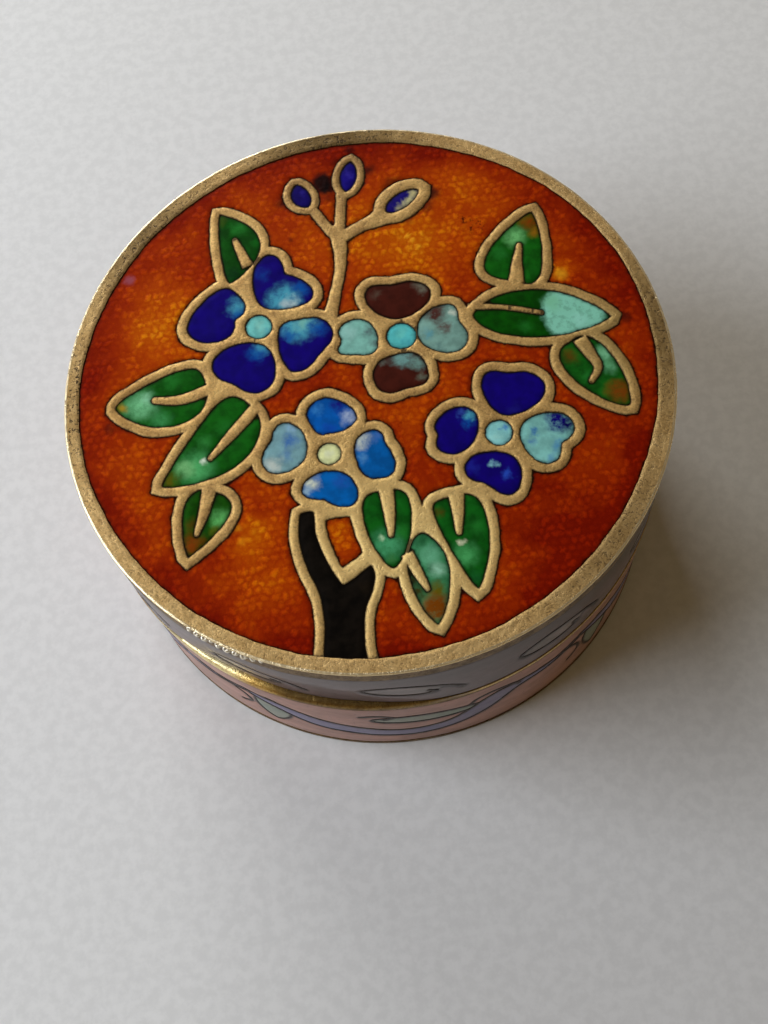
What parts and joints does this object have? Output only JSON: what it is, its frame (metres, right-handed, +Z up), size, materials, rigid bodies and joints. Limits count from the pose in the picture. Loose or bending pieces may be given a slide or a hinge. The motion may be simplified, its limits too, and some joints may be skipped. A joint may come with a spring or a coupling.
{
  "type": "cloisonne enamel box",
  "caption": "Small round brass box with a lift-off lid: flat top with enamelled flowers between wires, enamelled side bands, hollow inside.",
  "frame": {"origin": "centre of the foot ring on the surface that the box stands on", "axes": "+Z up through the lid; the picture's tree stands upright along +Y, and +X is the picture's right"},
  "size_m": [0.04, 0.04, 0.0191],
  "materials": {
    "brass": "aged polished brass with dark pits",
    "wire_brass": "flat brass wire, ground flush",
    "cobalt": "cobalt vitreous enamel, glossy",
    "blue": "mid blue vitreous enamel, glossy",
    "pale_blue": "pale blue and white vitreous enamel, glossy",
    "aqua": "pale aqua vitreous enamel, glossy",
    "turquoise": "turquoise vitreous enamel, glossy",
    "cream": "cream vitreous enamel, glossy",
    "maroon": "maroon vitreous enamel, glossy",
    "green": "green vitreous enamel, mint at the tips, glossy",
    "black": "black vitreous enamel, glossy",
    "ground": "translucent orange vitreous enamel over foil, glossy",
    "side_lilac": "lilac grey vitreous enamel, glossy",
    "side_pink": "dusky pink vitreous enamel, glossy",
    "bud_blue": "dark blue vitreous enamel, glossy"
  },
  "bodies": {
    "root": {"base_cup": "brass", "base_side_enamel": "side_pink", "base_underside_enamel": "side_pink", "bud_left": "bud_blue", "bud_middle": "bud_blue", "bud_right": "bud_blue", "cloison_wires": "wire_brass", "flower_1_centre": "aqua", "flower_1_petal_left": "cobalt", "flower_1_petal_lower_left": "cobalt", "flower_1_petal_right": "cobalt", "flower_1_petal_upper_right": "cobalt", "flower_2_centre": "turquoise", "flower_2_petal_bottom": "maroon", "flower_2_petal_left": "aqua", "flower_2_petal_right": "aqua", "flower_2_petal_top": "maroon", "flower_3_centre": "cream", "flower_3_petal_bottom": "blue", "flower_3_petal_left": "pale_blue", "flower_3_petal_right": "blue", "flower_3_petal_top": "blue", "flower_4_centre": "aqua", "flower_4_petal_bottom": "cobalt", "flower_4_petal_left": "cobalt", "flower_4_petal_right": "aqua", "flower_4_petal_top": "cobalt", "ground_enamel": "ground", "leaf_bottom_centre": "green", "leaf_bottom_left": "green", "leaf_bottom_right": "green", "leaf_left": "green", "leaf_lower_left": "green", "leaf_lower_right": "green", "leaf_narrow": "green", "leaf_right": "green", "leaf_top_left": "green", "leaf_top_right": "green", "lid_cup": "brass", "lid_side_enamel": "side_lilac", "trunk": "black", "trunk_window": "ground"}
  },
  "joints": []
}
